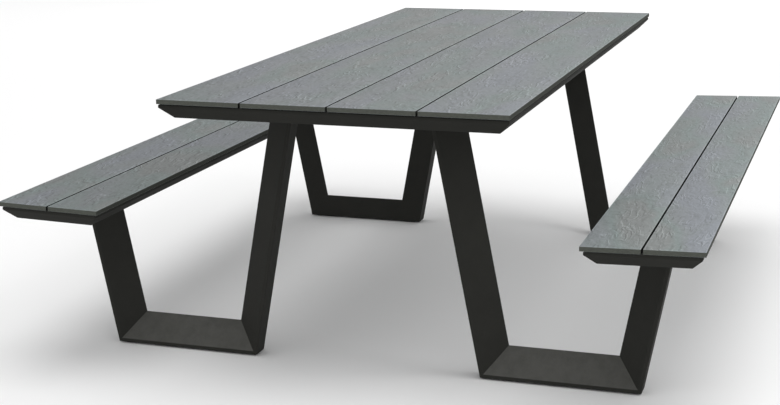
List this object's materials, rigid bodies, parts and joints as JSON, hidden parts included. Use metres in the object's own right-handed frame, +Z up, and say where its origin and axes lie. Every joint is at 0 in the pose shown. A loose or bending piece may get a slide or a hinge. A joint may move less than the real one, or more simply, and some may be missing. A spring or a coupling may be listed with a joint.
{
  "type": "picnic table",
  "caption": "Rectangular picnic table with long seats on both sides, grey laminate boards on folded anthracite steel trays and open trapezoid frames.",
  "frame": {"origin": "on the floor under the middle of the table", "axes": "+X across the table to the right seat, +Y along the table and the seats, +Z up"},
  "size_m": [1.8364, 2.08, 0.75],
  "materials": {
    "laminate_board": "matte compact laminate, mottled concrete grey with fine streaks along the board, dark core at the edges",
    "anthracite_steel": "fine-textured anthracite powder coat, satin to matt",
    "spacer_rubber": "matt black",
    "pad_rubber": "matt black",
    "zinc_fastener": "bright zinc plate"
  },
  "bodies": {
    "root": {"back_left_floor_member": "anthracite_steel", "back_left_seat_leg": "anthracite_steel", "back_left_table_leg": "anthracite_steel", "back_right_floor_member": "anthracite_steel", "back_right_seat_leg": "anthracite_steel", "back_right_table_leg": "anthracite_steel", "floor_pads": "pad_rubber", "front_left_floor_member": "anthracite_steel", "front_left_seat_leg": "anthracite_steel", "front_left_table_leg": "anthracite_steel", "front_right_floor_member": "anthracite_steel", "front_right_seat_leg": "anthracite_steel", "front_right_table_leg": "anthracite_steel", "left_seat_back_rail": "anthracite_steel", "left_seat_board_1": "laminate_board", "left_seat_board_2": "laminate_board", "left_seat_board_screws": "zinc_fastener", "left_seat_cross_rail_1": "anthracite_steel", "left_seat_cross_rail_2": "anthracite_steel", "left_seat_cross_rail_3": "anthracite_steel", "left_seat_front_rail": "anthracite_steel", "left_seat_left_rail": "anthracite_steel", "left_seat_right_rail": "anthracite_steel", "left_seat_spacer_strips": "spacer_rubber", "leg_plate_bolts": "zinc_fastener", "leg_plate_nuts": "zinc_fastener", "leg_plate_washers": "zinc_fastener", "right_seat_back_rail": "anthracite_steel", "right_seat_board_1": "laminate_board", "right_seat_board_2": "laminate_board", "right_seat_board_screws": "zinc_fastener", "right_seat_cross_rail_1": "anthracite_steel", "right_seat_cross_rail_2": "anthracite_steel", "right_seat_cross_rail_3": "anthracite_steel", "right_seat_front_rail": "anthracite_steel", "right_seat_left_rail": "anthracite_steel", "right_seat_right_rail": "anthracite_steel", "right_seat_spacer_strips": "spacer_rubber", "seat_leg_plates": "anthracite_steel", "table_back_rail": "anthracite_steel", "table_board_1": "laminate_board", "table_board_2": "laminate_board", "table_board_3": "laminate_board", "table_board_4": "laminate_board", "table_board_screws": "zinc_fastener", "table_cross_rail_1": "anthracite_steel", "table_cross_rail_2": "anthracite_steel", "table_cross_rail_3": "anthracite_steel", "table_cross_rail_4": "anthracite_steel", "table_cross_rail_5": "anthracite_steel", "table_front_rail": "anthracite_steel", "table_left_rail": "anthracite_steel", "table_leg_plates": "anthracite_steel", "table_right_rail": "anthracite_steel", "table_spacer_strips": "spacer_rubber"}
  },
  "joints": []
}
